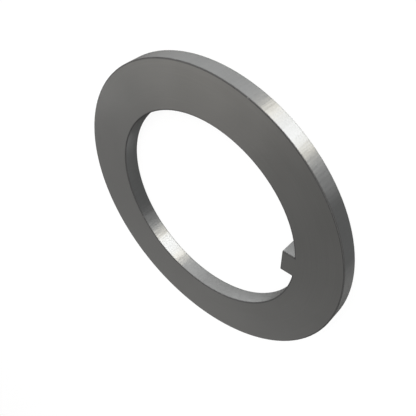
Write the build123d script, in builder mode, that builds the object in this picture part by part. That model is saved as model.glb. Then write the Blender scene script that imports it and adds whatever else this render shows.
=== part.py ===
from build123d import *
import os

# Lock washer: a flat steel ring with one key tab inside its bore.
# The washer slips over a threaded spindle and sits between the bearing and the spindle nut.
# Its tab rides in a keyway cut along the spindle, so the washer can't turn with the nut.
# It lies flat. The origin is on the ring's axis at the bottom face, +Z points out of the
# top face, and +X points at the tab.

# Driving dimensions, in millimetres
outer_diameter = 59.0
bore_diameter = 40.6
thickness = 3.2
tab_width = 4.5
tab_reach = 2.6
root_radius = 0.15
tip_corner_radius = 0.05
edge_break = 0.12

# Sizes that follow from them
outer_radius = outer_diameter / 2
bore_radius = bore_diameter / 2
ring_middle = (outer_radius + bore_radius) / 2
tip_distance = bore_radius - tab_reach

# The tip's corners keep their radius on the flat faces, inside the edge break,
# so on the wall between the faces it is larger by the width of the break.
tip_wall_radius = tip_corner_radius + edge_break

with BuildPart() as lock_washer:
    # Outline of ring and tab. The tab is drawn from its flat tip out to the middle of the
    # ring, where it is one with the plate.
    with BuildSketch(Plane.XY) as outline:
        Circle(outer_radius)
        Circle(bore_radius, mode=Mode.SUBTRACT)
        with Locations((tip_distance, 0)):
            Rectangle(ring_middle - tip_distance, tab_width, align=(Align.MIN, Align.CENTER))
        # Corners of the tab, in pairs along X: the two at the tip come first, and the two
        # at the root, where the punch leaves a small fillet in the bore wall, come second.
        fillet(outline.vertices().group_by(Axis.X)[1], radius=root_radius)
        fillet(outline.vertices().group_by(Axis.X)[0], radius=tip_wall_radius)
    extrude(amount=thickness)

    # The edges of both flat faces are broken all round: rim, bore and tab.
    flat_faces = lock_washer.faces().filter_by(Axis.Z)
    chamfer(flat_faces.edges(), length=edge_break)

lock_washer.part.label = "lock_washer"

os.makedirs("parts", exist_ok=True)
export_step(lock_washer.part, "parts/lock_washer.step")
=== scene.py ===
# %% [markdown]
# # A keyed lock washer on a pale table
#
# The washer is one flat steel ring with one square tab inside its bore. It slips over a
# threaded spindle, and the tab rides in the spindle's keyway, so the nut can't turn it.
# The ring is punched from plate and hardened. Its faces are ground, its walls keep the
# marks of the punch, and the edges between them are broken so that they don't cut.
# The ring arrives here as finished geometry, at its real size in metres. What is left to
# make is the picture: a camera, a table, lamps, and a steel finish for each surface.

# %% Load the washer at its real size
from math import acos, atan, cos, degrees, hypot, pi, radians, sin, tan

import bpy
from mathutils import Matrix, Vector


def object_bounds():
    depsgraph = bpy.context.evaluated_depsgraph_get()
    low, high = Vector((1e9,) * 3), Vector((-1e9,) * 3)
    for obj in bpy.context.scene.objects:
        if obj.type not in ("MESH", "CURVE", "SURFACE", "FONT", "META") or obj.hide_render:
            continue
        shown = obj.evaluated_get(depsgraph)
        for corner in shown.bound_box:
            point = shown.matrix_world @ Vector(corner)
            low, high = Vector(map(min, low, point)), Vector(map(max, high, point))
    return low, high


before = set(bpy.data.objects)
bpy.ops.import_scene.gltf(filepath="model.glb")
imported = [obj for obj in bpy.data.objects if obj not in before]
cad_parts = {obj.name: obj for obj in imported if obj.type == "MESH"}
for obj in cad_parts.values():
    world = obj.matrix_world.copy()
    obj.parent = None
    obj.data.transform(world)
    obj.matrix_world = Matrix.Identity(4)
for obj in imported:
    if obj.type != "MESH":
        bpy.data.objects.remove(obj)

mm = 0.001
scene = bpy.context.scene
bpy.context.view_layer.update()
built_low, built_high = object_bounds()
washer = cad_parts["lock_washer"]
print("washer:", len(washer.data.vertices), "corners,", len(washer.data.polygons), "facets")

# %% [markdown]
# ## The ring's own sizes
#
# The finishes change where one surface ends and the next begins. Those places could be
# typed in, but then they would be wrong as soon as somebody changes the ring. So they are
# measured on the ring's own corner points: the rim is the widest circle, the bore is the
# narrowest one on the side away from the tab, and what lies nearer to the axis is the tab.
# The tab flares into the bore at its root, so its width is taken from its inner half.

# %% Measure rim, bore, tab and edge breaks
hair = 0.01 * mm
outer_radius = built_high.x
thickness = built_high.z - built_low.z

corners = [vertex.co for vertex in washer.data.vertices]
bore_radius = min(hypot(point.x, point.y) for point in corners if point.x < 0)
tab_corners = [point for point in corners if hypot(point.x, point.y) < bore_radius - hair]
tab_tip = min(point.x for point in tab_corners)
tab_middle = (tab_tip + bore_radius) / 2
tab_half_width = max(point.y for point in tab_corners if point.x < tab_middle)
rim_top = max(point.z for point in corners if hypot(point.x, point.y) > outer_radius - hair)
edge_break = thickness - rim_top

print("ring", round(2 * outer_radius / mm, 2), "x", round(2 * bore_radius / mm, 2), "x",
      round(thickness / mm, 2), "mm, edges broken", round(edge_break / mm, 2), "mm")
print("tab", round(2 * tab_half_width / mm, 2), "mm wide,",
      round((bore_radius - tab_tip) / mm, 2), "mm high")

# %% [markdown]
# ## Camera
#
# The photograph shows the washer stood on its edge. A plain ring can't stay like that by
# itself, so here it lies flat and the camera looks down on it from the same side.
# To keep the ring at the same slant in the picture, the camera also turns about its own
# line of sight. All lengths are shares of the ring's radius, so the view fits any size.

# %% Camera
aim_shares = Vector((0.0477, 0.0678, 0.0))
aim = aim_shares * outer_radius + Vector((0, 0, thickness))
camera_distance = 3.492 * outer_radius
camera_azimuth = radians(54.765)
camera_elevation = radians(33.398)
camera_turn = radians(128.115)
film_width_mm = 36
lens_mm = 49.627


def direction(azimuth, elevation):
    """The unit vector that points that way, with azimuth 0 along +X and 90 along +Y."""
    level = cos(elevation)
    return Vector((level * cos(azimuth), level * sin(azimuth), sin(elevation)))


towards_camera = direction(camera_azimuth, camera_elevation)
level_right = Vector((0, 0, 1)).cross(towards_camera).normalized()
level_up = towards_camera.cross(level_right)
view_up = level_up * cos(camera_turn) + level_right * sin(camera_turn)
view_right = view_up.cross(towards_camera)

camera_data = bpy.data.cameras.new("camera")
camera_data.sensor_width = film_width_mm
camera_data.lens = lens_mm
camera_data.clip_start = 1 * mm
camera = bpy.data.objects.new("camera", camera_data)
camera_axes = Matrix((view_right, view_up, towards_camera)).transposed()
camera.matrix_world = Matrix.Translation(aim + towards_camera * camera_distance) @ camera_axes.to_4x4()
scene.collection.objects.link(camera)
scene.camera = camera
scene.view_settings.view_transform = "Standard"
print("camera", round(camera_distance / mm, 1), "mm away, looking down",
      round(degrees(camera_elevation), 1), "degrees")

# %% [markdown]
# ## Helpers for materials
#
# A procedural material is a small graph of nodes. Written out in full, each node takes
# four or five lines, and the idea gets lost between them. Five short helpers keep the
# recipes readable. They add a node, feed one of its sockets, do one step of arithmetic,
# stretch a value from one range to another, and start an empty material.


# %% Helpers for node graphs
def add_node(tree, kind, **settings):
    """A new node of that kind, with its options set by name."""
    node = tree.nodes.new(kind)
    for option, value in settings.items():
        setattr(node, option, value)
    return node


def plug(tree, value, socket):
    """Feed a socket: another node's output is linked, a plain number or colour is typed in."""
    if isinstance(value, bpy.types.NodeSocket):
        tree.links.new(value, socket)
    else:
        socket.default_value = value


def calc(tree, operation, first, second=0.0):
    """One step of arithmetic between sockets or numbers."""
    node = add_node(tree, "ShaderNodeMath", operation=operation)
    plug(tree, first, node.inputs[0])
    plug(tree, second, node.inputs[1])
    return node.outputs[0]


def stretch(tree, value, low, high, new_low, new_high):
    """Map low..high to new_low..new_high, and hold the ends."""
    node = add_node(tree, "ShaderNodeMapRange")
    for socket, setting in zip(node.inputs, (value, low, high, new_low, new_high)):
        plug(tree, setting, socket)
    return node.outputs[0]


def start_material(name):
    """An empty node material and its output node."""
    material = bpy.data.materials.new(name)
    material.use_nodes = True
    material.node_tree.nodes.clear()
    output = add_node(material.node_tree, "ShaderNodeOutputMaterial")
    return material, material.node_tree, output


# %% [markdown]
# ## The table and the room
#
# The photograph's background is plain white, with the faintest of shadows. A floor lit
# until it burns out would be white too, but it would lose the shadow and flood the steel
# with light. So the table glows by itself for every ray that can look at it, straight, in
# a mirror or through glass, until it is just short of white, and the lamps add the rest.
# Where the ring keeps them off, that rest is missing, and this is the shadow. For
# scattered light the table is a plain white-painted board. It ends below the lamps, where
# they still light it, so no grey line shows at the horizon. The room around it is plain
# white as well, at a strength of one.

# %% White table
table_size = 1.2
board_white = (0.8, 0.8, 0.8, 1)
table_glow = 0.93
lamp_share = 0.03

bpy.ops.mesh.primitive_plane_add(size=table_size, location=(0, 0, 0))
table = bpy.context.object
table.name = "table_top"

white_table, tree, output = start_material("white_table")
board = add_node(tree, "ShaderNodeBsdfDiffuse")
board.inputs["Color"].default_value = board_white

lit = add_node(tree, "ShaderNodeBsdfDiffuse")
lit.inputs["Color"].default_value = (lamp_share, lamp_share, lamp_share, 1)
glow = add_node(tree, "ShaderNodeEmission")
glow.inputs["Strength"].default_value = table_glow
looked_at = add_node(tree, "ShaderNodeAddShader")
plug(tree, lit.outputs[0], looked_at.inputs[0])
plug(tree, glow.outputs[0], looked_at.inputs[1])

ray = add_node(tree, "ShaderNodeLightPath")
seen_or_mirrored = calc(tree, "MAXIMUM", ray.outputs["Is Camera Ray"], ray.outputs["Is Glossy Ray"])
any_look = calc(tree, "MAXIMUM", seen_or_mirrored, ray.outputs["Is Transmission Ray"])
choice = add_node(tree, "ShaderNodeMixShader")
plug(tree, any_look, choice.inputs[0])
plug(tree, board.outputs[0], choice.inputs[1])
plug(tree, looked_at.outputs[0], choice.inputs[2])
plug(tree, choice.outputs[0], output.inputs["Surface"])
table.data.materials.append(white_table)
print("table", table_size, "m square")

# %% White room
room_white = (1, 1, 1, 1)
room_strength = 1.0

world = bpy.data.worlds.new("white_room")
world.use_nodes = True
world.node_tree.nodes.clear()
room_output = add_node(world.node_tree, "ShaderNodeOutputWorld")
room = add_node(world.node_tree, "ShaderNodeBackground")
room.inputs["Color"].default_value = room_white
room.inputs["Strength"].default_value = room_strength
plug(world.node_tree, room.outputs[0], room_output.inputs["Surface"])
scene.world = world
print("room at strength", room_strength)


# %% [markdown]
# ## Lamps
#
# In an even white room a steel ring looks like grey paper. What makes it metal is a bright
# lamp here and none there. Each lamp is a soft box that stands on a circle round the ring
# and faces it. It is described the way a photographer would: where it stands, how wide and
# how high it looks from the ring, and how bright it is next to the white room.


# %% Soft boxes
def soft_box(name, azimuth, elevation, wide, high, brightness, colour):
    """A rectangular lamp that faces the ring. Angles in degrees, brightness in room whites."""
    lamp_data = bpy.data.lights.new(name, "AREA")
    lamp_data.shape = "RECTANGLE"
    lamp_data.size = 2 * lamp_distance * tan(radians(wide / 2))
    lamp_data.size_y = 2 * lamp_distance * tan(radians(high / 2))
    # A flat lamp gives off its brightness times its area times pi, and these are its watts.
    lamp_data.energy = brightness * pi * lamp_data.size * lamp_data.size_y
    lamp_data.color = colour
    lamp = bpy.data.objects.new(name, lamp_data)
    away = direction(radians(azimuth), radians(elevation))
    lamp.location = away * lamp_distance
    lamp.rotation_mode = "QUATERNION"
    lamp.rotation_quaternion = away.to_track_quat("Z", "Y")
    lamp.visible_camera = False
    scene.collection.objects.link(lamp)
    return lamp_data.energy


lamp_distance = 0.6
print("lamps stand", lamp_distance, "m from the ring")

# %% [markdown]
# ### Where the lamps stand
#
# Light adds up: the picture under many lamps is the sum of the pictures under each one.
# So each lamp can be tried alone, and then set as bright as the photograph asks for.
# The key box makes the one hard highlight on rim and bore, and a warm strip on each side
# of it colours its two ends. Tall boxes light the grey half of the rim beside it, low ones
# the part behind, and strips just above the table the dark half. Two boxes stand high
# above, on the far side, for the soft beams on the face.

# %% Lamps all round
plain_white = (1.0, 1.0, 1.0)
soft_white = (1.0, 0.97, 0.93)
warm_white = (1.0, 0.91, 0.74)
amber_white = (1.0, 0.82, 0.4)

# Name, azimuth, elevation, width and height in degrees, brightness in room whites, colour.
lamps = (
    ("key_box", 62, 24, 26, 48, 12.8, plain_white),
    ("key_flank_left", 46, 24, 6, 48, 4.8, amber_white),
    ("key_flank_right", 77, 24, 5, 48, 15.5, warm_white),
    ("tall_box_29", 29, 24, 18, 48, 1.8, plain_white),
    ("tall_box_50", 50, 24, 24, 48, 7.6, plain_white),
    ("tall_box_74", 74, 24, 24, 48, 4.5, plain_white),
    ("tall_box_98", 98, 24, 24, 48, 5.9, plain_white),
    ("half_box_122", 122, 12, 24, 24, 8.0, plain_white),
    ("low_box_146", 146, 8, 24, 16, 10.9, plain_white),
    ("low_box_170", 170, 8, 24, 16, 10.0, plain_white),
    ("low_box_194", 194, 8, 24, 16, 11.9, plain_white),
    ("strip_292", 292, 4, 24, 8, 5.2, plain_white),
    ("strip_316", 316, 4, 24, 8, 1.7, plain_white),
    ("strip_340", 340, 4, 24, 8, 1.6, plain_white),
    ("strip_4", 4, 4, 24, 8, 1.5, plain_white),
    ("strip_28", 28, 4, 24, 8, 4.6, plain_white),
    ("high_box", 190, 45, 24, 20, 3.3, soft_white),
    ("top_box", 180, 65, 24, 20, 10.3, soft_white),
)
all_watts = sum(soft_box(*lamp) for lamp in lamps)
print(len(lamps), "lamps,", round(all_watts, 1), "W together")

# %% [markdown]
# ## Steel
#
# All surfaces are the same dark, hardened steel. Ground bare it is a slightly warm grey,
# and only punched it is a trace cooler. The surfaces differ most in how they were cut,
# and that shows in the roughness and in the direction of the marks.

# %% Steel colours and the starting shader
ground_dark = (0.0745, 0.0738, 0.071, 1)
ground_light = (0.0865, 0.0858, 0.083, 1)
wall_dark = (0.073, 0.074, 0.0735, 1)
wall_light = (0.085, 0.086, 0.0855, 1)
scale_dark = (0.035, 0.035, 0.035, 1)
scale_black = (0.02, 0.02, 0.02, 1)


def start_steel(name):
    """A metal shader wired to its output, with the place on the ring in metres."""
    material, tree, output = start_material(name)
    metal = add_node(tree, "ShaderNodeBsdfPrincipled")
    metal.inputs["Metallic"].default_value = 1.0
    plug(tree, metal.outputs[0], output.inputs["Surface"])
    place = add_node(tree, "ShaderNodeTexCoord").outputs["Object"]
    return material, tree, metal, place


def mix_colours(tree, share, first, second):
    """First where the share is 0, second where it is 1."""
    node = add_node(tree, "ShaderNodeMix", data_type="RGBA")
    plug(tree, share, node.inputs["Factor"])
    # This node carries numbers, vectors and colours side by side. These are its colour sockets.
    plug(tree, first, node.inputs[6])
    plug(tree, second, node.inputs[7])
    return node.outputs[2]


print("ground steel between", ground_dark[:3], "and", ground_light[:3])

# %% [markdown]
# ### Noise with a direction
#
# Every mark on the steel comes from one kind of noise. Read at places that are squeezed
# together along one axis, its round blots become long lines. Most of its values lie
# between 0.3 and 0.7, so these two are the ends that the recipes stretch from. Two noises
# are blended before that, so that one material can have lines and grain at once.

# %% Noise, blended and spread
noise_low = 0.3
noise_high = 0.7


def noise(tree, place, pitch, squeeze=(1, 1, 1), detail=2.0):
    """Random blots about one pitch wide, longer where squeeze is small: a number and a colour."""
    scaled = add_node(tree, "ShaderNodeMapping")
    plug(tree, place, scaled.inputs["Vector"])
    scaled.inputs["Scale"].default_value = squeeze
    cloud = add_node(tree, "ShaderNodeTexNoise")
    plug(tree, scaled.outputs[0], cloud.inputs["Vector"])
    cloud.inputs["Scale"].default_value = 1 / pitch
    cloud.inputs["Detail"].default_value = detail
    return cloud.outputs["Fac"], cloud.outputs["Color"]


def blend(tree, share, first, second):
    """So much of the first value, and the rest of the second."""
    first_part = calc(tree, "MULTIPLY", first, share)
    second_part = calc(tree, "MULTIPLY", second, 1 - share)
    return calc(tree, "ADD", first_part, second_part)


def spread(tree, value, new_low, new_high):
    """Stretch a noise over a range of its own."""
    return stretch(tree, value, noise_low, noise_high, new_low, new_high)


print("noise is stretched from", noise_low, "to", noise_high)

# %% [markdown]
# ### Distance from the nearest edge
#
# A grinding wheel doesn't reach the last tenth or two of a millimetre beside an edge, where
# the plate rolls off, and a thin dark line of hardening scale stays there. It outlines the
# ring in the photograph. The line follows rim, bore and tab, so the material works out how
# far each point of the face lies from the nearest of them. A wall has an edge only at its
# upper and its lower end, so there the height is enough.


# %% Distances in the material
def split(tree, place):
    """The place as three numbers: x, y and the distance from the ring's axis."""
    axis = add_node(tree, "ShaderNodeSeparateXYZ")
    plug(tree, place, axis.inputs[0])
    x, y = axis.outputs["X"], axis.outputs["Y"]
    squares = calc(tree, "ADD", calc(tree, "MULTIPLY", x, x), calc(tree, "MULTIPLY", y, y))
    return x, y, calc(tree, "SQRT", squares)


def face_edge_distance(tree, place):
    """Metres from the nearest edge, anywhere on the flat faces."""
    x, y, radius = split(tree, place)
    from_rim = calc(tree, "SUBTRACT", outer_radius - edge_break, radius)
    from_bore = calc(tree, "SUBTRACT", radius, bore_radius + edge_break)
    from_flank = calc(tree, "SUBTRACT", tab_half_width - edge_break, calc(tree, "ABSOLUTE", y))
    from_tip = calc(tree, "SUBTRACT", x, tab_tip + edge_break)
    inside_tab = calc(tree, "MINIMUM", from_flank, from_tip)
    return calc(tree, "MINIMUM", from_rim, calc(tree, "MAXIMUM", from_bore, inside_tab))


def wall_edge_distance(tree, place):
    """Metres from the upper or lower end of a wall, whichever is nearer."""
    axis = add_node(tree, "ShaderNodeSeparateXYZ")
    plug(tree, place, axis.inputs[0])
    height = axis.outputs["Z"]
    from_below = calc(tree, "SUBTRACT", height, edge_break)
    from_above = calc(tree, "SUBTRACT", thickness - edge_break, height)
    return calc(tree, "MINIMUM", from_below, from_above)


border_start = 0.04 * mm
border_end = 0.17 * mm
print("dark borders end", round(border_end / mm, 2), "mm from the edge")

# %% [markdown]
# ### Dull and shaded at a glance
#
# A smooth metal turns whiter the flatter one looks along it. Ground and punched steel does
# so far less, because its ridges hide one another and lie in their own shadow. Layer Weight
# tells how flat the look is. The flatter it gets, the more the gloss fades and the colour
# darkens to a painted shade that stands for that shadow, and so the ring keeps its outline
# from every side.


# %% Steel seen at a glancing angle
def dull_and_shaded_at_a_glance(tree, metal, steel):
    """Glossy steel seen from above, matt and darkened with painted shade seen along the surface."""
    glance = add_node(tree, "ShaderNodeLayerWeight").outputs["Facing"]
    gloss = stretch(tree, glance, dulling_start, dulling_end, 1.0, 0.0)
    # Where one looks along the surface, the steel colour gives way to a painted shade.
    plug(tree, mix_colours(tree, gloss, glance_shade_colour, steel), metal.inputs["Base Color"])
    plug(tree, gloss, metal.inputs["Metallic"])
    metal.inputs["Specular IOR Level"].default_value = 0.0


# A painted shade: the dark colour that stands for the ridges' own shadow at a glancing look.
glance_shade_colour = (0.04, 0.04, 0.04, 1)
dulling_start = 0.6
dulling_end = 0.9
fade_angle = 90 - degrees(acos(1 - dulling_start))
print("gloss fades from", round(fade_angle, 1), "degrees above the surface down")

# %% [markdown]
# ### Ground faces
#
# Both faces are ground flat on a turning table, so the wheel leaves very fine lines that
# run round the ring. Like the grooves of a record, they fan the light out across
# themselves, and two soft beams lie on the ring, on opposite sides of the bore. The lines
# are finer than a pixel, so the fan comes from the shader, whose highlight is stretched
# along the radius.
# A flat grey with one roughness would look like plastic. Three kinds of noise are laid
# over each other: broad clouds nearly a centimetre wide, the long grinding lines, and a
# grain finer than the eye can tell apart. All three steer colour and roughness, and lines
# and grain steer the bump as well, because on real steel one scratch does it all. For
# lines that run round, the noise is read at the point's radius and direction instead of
# at its x and y.

# %% Ground faces
cloud_pitch = 9 * mm
lay_pitch = 0.12 * mm
lay_length_share = 0.01
grain_pitch = 0.05 * mm
cloud_share = 0.35
lay_share = 0.6
ground_roughness = (0.35, 0.41)
scratch_strength = 0.15
scratch_depth = 0.002 * mm
ground_fan = 0.4
quarter_turn = 0.25

ground_face, tree, metal, place = start_steel("ground_face")
x, y, radius = split(tree, place)
circling = add_node(tree, "ShaderNodeCombineXYZ")
plug(tree, radius, circling.inputs["X"])
for part, socket in ((x, circling.inputs["Y"]), (y, circling.inputs["Z"])):
    plug(tree, calc(tree, "MULTIPLY", calc(tree, "DIVIDE", part, radius), bore_radius), socket)

clouds, _ = noise(tree, place, cloud_pitch)
lay, _ = noise(tree, circling.outputs[0], lay_pitch, squeeze=(1, lay_length_share, lay_length_share))
grain, _ = noise(tree, place, grain_pitch)
marks = blend(tree, lay_share, lay, grain)
shade = blend(tree, cloud_share, clouds, marks)

# %% Ground faces, colour and gloss
steel = mix_colours(tree, spread(tree, shade, 0.0, 1.0), ground_dark, ground_light)
bright = stretch(tree, face_edge_distance(tree, place), border_start, border_end, 0.0, 1.0)
dull_and_shaded_at_a_glance(tree, metal, mix_colours(tree, bright, scale_dark, steel))
plug(tree, spread(tree, shade, *ground_roughness), metal.inputs["Roughness"])

scratches = add_node(tree, "ShaderNodeBump")
scratches.inputs["Strength"].default_value = scratch_strength
scratches.inputs["Distance"].default_value = scratch_depth
plug(tree, marks, scratches.inputs["Height"])
plug(tree, scratches.outputs[0], metal.inputs["Normal"])

around = add_node(tree, "ShaderNodeTangent", direction_type="RADIAL", axis="Z")
plug(tree, around.outputs[0], metal.inputs["Tangent"])
metal.inputs["Anisotropic"].default_value = ground_fan
metal.inputs["Anisotropic Rotation"].default_value = quarter_turn
print("ground faces: lines", round(lay_pitch / mm, 2), "mm apart, running round the ring")

# %% [markdown]
# ### Punched walls
#
# Rim, bore and tab are punched out of the plate in one stroke, and the tool drags fine
# upright lines down them. The photographed rim has one hard bright band. So it mirrors the
# lamps that stand above the table and not the table itself, as a wall does that leans and
# bulges. This ring's walls are straight, and its shape stays as it is. So only the light is
# led that way: the surface normal is tipped upwards, the highlight is stretched along the
# height, and a small random turn of the normal from line to line frays its two ends.

# %% Punched walls, colour and gloss
drag_pitch = 0.25 * mm
drag_length_share = 0.04
drag_share = 0.6
wall_shades = (0.17, 0.83)
wall_roughness = (0.34, 0.39)
wall_border_shade = 0.3

punched_wall, tree, metal, place = start_steel("punched_wall")
drag, drag_sides = noise(tree, place, drag_pitch, squeeze=(1, 1, drag_length_share), detail=0.0)
grain, _ = noise(tree, place, grain_pitch)
shade = blend(tree, drag_share, drag, grain)
steel = mix_colours(tree, spread(tree, shade, *wall_shades), wall_dark, wall_light)
bright = stretch(tree, wall_edge_distance(tree, place), 0.0, border_end, wall_border_shade, 1.0)
dull_and_shaded_at_a_glance(tree, metal, mix_colours(tree, bright, scale_dark, steel))
plug(tree, spread(tree, shade, *wall_roughness), metal.inputs["Roughness"])
print("punched walls: drag lines", round(drag_pitch / mm, 2), "mm apart")

# %% Punched walls, tipped light and frayed highlight
wall_lean = 0.5
drag_turn = 0.08
wall_stretch = 0.9
far_edge_tint = (0.5, 0.5, 0.5, 1)

# The noise lies round 0.5, so that much is taken off again, and the lines turn both ways.
turned = add_node(tree, "ShaderNodeVectorMath", operation="MULTIPLY_ADD")
plug(tree, drag_sides, turned.inputs[0])
turned.inputs[1].default_value = (drag_turn, drag_turn, 0)
turned.inputs[2].default_value = (-drag_turn / 2, -drag_turn / 2, wall_lean)
tipped = add_node(tree, "ShaderNodeVectorMath", operation="ADD")
plug(tree, turned.outputs[0], tipped.inputs[0])
plug(tree, add_node(tree, "ShaderNodeNewGeometry").outputs["Normal"], tipped.inputs[1])
unit = add_node(tree, "ShaderNodeVectorMath", operation="NORMALIZE")
plug(tree, tipped.outputs[0], unit.inputs[0])
plug(tree, unit.outputs[0], metal.inputs["Normal"])

around = add_node(tree, "ShaderNodeTangent", direction_type="RADIAL", axis="Z")
plug(tree, around.outputs[0], metal.inputs["Tangent"])
metal.inputs["Anisotropic"].default_value = wall_stretch
metal.inputs["Anisotropic Rotation"].default_value = quarter_turn
# On a metal, this colour dims what it mirrors where one looks nearly along it.
metal.inputs["Specular Tint"].default_value = far_edge_tint
print("punched walls mirror as if they leaned by", round(degrees(atan(wall_lean)), 1), "degrees")

# %% [markdown]
# ### Broken edges
#
# The small bevels between walls and faces aren't ground. They keep the scale from hardening,
# which is an oxide: matt and almost black, and no metal any more. Only where the ring has
# knocked against something does bright steel show through. A coarse noise with a high
# threshold gives those few nicks, and it switches colour and metal together.

# %% Broken edges
nick_pitch = 0.6 * mm
nick_detail = 4.0
nick_start = 0.66
nick_full = 0.82
edge_roughness = (0.65, 0.5)

broken_edge, tree, metal, place = start_steel("broken_edge")
nicks, _ = noise(tree, place, nick_pitch, detail=nick_detail)
worn = stretch(tree, nicks, nick_start, nick_full, 0.0, 1.0)
plug(tree, mix_colours(tree, worn, scale_black, ground_light), metal.inputs["Base Color"])
plug(tree, worn, metal.inputs["Metallic"])
metal.inputs["Specular IOR Level"].default_value = 0.0
plug(tree, spread(tree, nicks, *edge_roughness), metal.inputs["Roughness"])
print("broken edges: nicks about", round(nick_pitch / mm, 2), "mm long")

# %% [markdown]
# ## Which surface gets which finish
#
# The ring is one mesh, and its material slots have to be dealt out among its facets. The
# facets could be picked one by one, but the slope of a facet already says what it is: flat
# faces look straight up or down, walls look sideways, and only the bevels look out at a slant.
# A geometry-nodes modifier sorts them by that slope, and leaves the mesh as it is.

# %% Deal out the finishes by slope
finishes = (ground_face, punched_wall, broken_edge)
wall_slope = 0.2
bevel_slope = cos(radians(45))
bevel_tolerance = 0.25

washer.data.materials[0] = finishes[0]
for finish in finishes[1:]:
    washer.data.materials.append(finish)

sorter = bpy.data.node_groups.new("finish_by_slope", "GeometryNodeTree")
sorter.interface.new_socket("Geometry", in_out="INPUT", socket_type="NodeSocketGeometry")
sorter.interface.new_socket("Geometry", in_out="OUTPUT", socket_type="NodeSocketGeometry")
ring_in = add_node(sorter, "NodeGroupInput")
ring_out = add_node(sorter, "NodeGroupOutput")
facing = add_node(sorter, "ShaderNodeSeparateXYZ")
plug(sorter, add_node(sorter, "GeometryNodeInputNormal").outputs[0], facing.inputs[0])
slope = calc(sorter, "ABSOLUTE", facing.outputs["Z"])
is_wall = calc(sorter, "LESS_THAN", slope, wall_slope)
off_bevel = calc(sorter, "ABSOLUTE", calc(sorter, "SUBTRACT", slope, bevel_slope))
is_bevel = calc(sorter, "LESS_THAN", off_bevel, bevel_tolerance)
# A test that holds counts as 1, and that is already the wall's place in the list.
bevel_place = finishes.index(broken_edge)
slot_number = calc(sorter, "ADD", is_wall, calc(sorter, "MULTIPLY", is_bevel, bevel_place))
deal = add_node(sorter, "GeometryNodeSetMaterialIndex")
plug(sorter, ring_in.outputs[0], deal.inputs["Geometry"])
plug(sorter, slot_number, deal.inputs["Material Index"])
plug(sorter, deal.outputs[0], ring_out.inputs[0])
washer.modifiers.new("finish_by_slope", "NODES").node_group = sorter
print("finishes:", ", ".join(finish.name for finish in finishes))

# %% [markdown]
# ## Sizes after building
#
# The picture must not change the ring's size. The box round the ring as it came was measured
# when it was loaded, and here the scene is brought up to date.

# %% Bring the scene up to date
bpy.context.view_layer.update()
